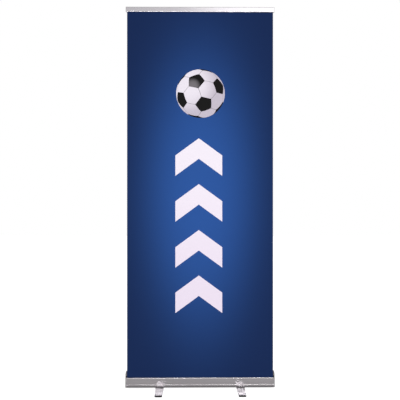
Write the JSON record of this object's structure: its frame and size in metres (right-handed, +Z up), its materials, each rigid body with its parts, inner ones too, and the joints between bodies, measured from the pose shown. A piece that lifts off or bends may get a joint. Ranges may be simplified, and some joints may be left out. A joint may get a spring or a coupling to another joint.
{
  "type": "roll-up banner stand",
  "caption": "Free-standing roll-up banner: spring roller cassette on swivel feet, twist-lock telescopic pole and a top rail that carries a tall printed film.",
  "frame": {"origin": "on the floor under the middle of the cassette", "axes": "+Z up, -Y the printed front, +X to the right seen from the front"},
  "size_m": [0.82, 0.34, 2.095],
  "materials": {
    "anodised_aluminium": "satin anodised",
    "rail_aluminium": "satin anodised",
    "foot_aluminium": "satin anodised",
    "pole_aluminium": "drawn and anodised",
    "roller_aluminium": "mill finish",
    "cap_plastic": "silver moulded",
    "black_plastic": "fine texture",
    "white_nylon": "satin",
    "steel": "zinc plated",
    "spring_steel": "oiled",
    "rubber_pad": "matt",
    "white_tape": "satin",
    "banner_film": "satin printed",
    "film_back": "satin grey back"
  },
  "bodies": {
    "cassette": {"cassette_shell": "anodised_aluminium", "slot_guide": "black_plastic", "end_cap_left": "cap_plastic", "end_cap_right": "cap_plastic", "end_cap_screws": "steel", "pole_socket": "black_plastic", "socket_screws": "steel", "foot_bolts": "steel", "foot_washers": "steel", "foot_nuts": "steel", "spring_mandrel": "steel", "roller_spring": "spring_steel", "idler_pin": "steel", "pole_lower": "pole_aluminium", "pole_foot_plug": "black_plastic", "banner_sheet": "banner_film"},
    "left_foot": {"foot_left": "foot_aluminium", "foot_left_tips": "black_plastic", "foot_left_pads": "rubber_pad"},
    "right_foot": {"foot_right": "foot_aluminium", "foot_right_tips": "black_plastic", "foot_right_pads": "rubber_pad"},
    "roller": {"roller_tube": "roller_aluminium", "roller_spring_plug": "black_plastic", "roller_idler_plug": "black_plastic", "leader_strip": "white_tape", "banner_windings": "film_back"},
    "lower_collar": {"collar_lower": "black_plastic"},
    "middle_section": {"pole_middle": "pole_aluminium", "middle_bush": "white_nylon"},
    "upper_collar": {"collar_upper": "black_plastic"},
    "upper_section": {"pole_upper": "pole_aluminium", "upper_bush": "white_nylon", "pole_head": "black_plastic"},
    "top_rail": {"rail_back": "anodised_aluminium", "rail_front": "rail_aluminium", "rail_cap_left": "cap_plastic", "rail_cap_right": "cap_plastic", "rail_hook": "black_plastic"}
  },
  "joints": [
    {"name": "left_foot_swivel", "type": "hinge", "parent": "cassette", "child": "left_foot", "pos_m": [-0.222, 0, 0.008], "axis": [0, 0, 1], "range_deg": [0, 90]},
    {"name": "right_foot_swivel", "type": "hinge", "parent": "cassette", "child": "right_foot", "pos_m": [0.222, 0, 0.008], "axis": [0, 0, 1], "range_deg": [-90, 0]},
    {"name": "pole_middle_slide", "type": "slide", "parent": "cassette", "child": "middle_section", "axis": [0, 0, 1], "range_m": [-0.6, 0], "deforming": ["banner_sheet"]},
    {"name": "pole_upper_slide", "type": "slide", "parent": "middle_section", "child": "upper_section", "axis": [0, 0, 1], "range_m": [-0.6, 0]},
    {"name": "rail_lift", "type": "slide", "parent": "upper_section", "child": "top_rail", "axis": [0, 0, 1], "range_m": [0, 0.015]},
    {"name": "roller_spin", "type": "hinge", "parent": "cassette", "child": "roller", "pos_m": [0, -0.019, 0.04], "axis": [1, 0, 0], "range_deg": [0, 4050]},
    {"name": "lower_collar_twist", "type": "hinge", "parent": "cassette", "child": "lower_collar", "pos_m": [0, -0.01, 0.78], "axis": [0, 0, 1], "range_deg": [0, 120]},
    {"name": "upper_collar_twist", "type": "hinge", "parent": "middle_section", "child": "upper_collar", "pos_m": [0, -0.01, 1.42], "axis": [0, 0, 1], "range_deg": [0, 120]}
  ],
  "couplings": [
    {"joint": "pole_upper_slide", "follows": "pole_middle_slide", "ratio": 1},
    {"joint": "roller_spin", "follows": "pole_middle_slide", "rad_per_m": -117.65}
  ]
}
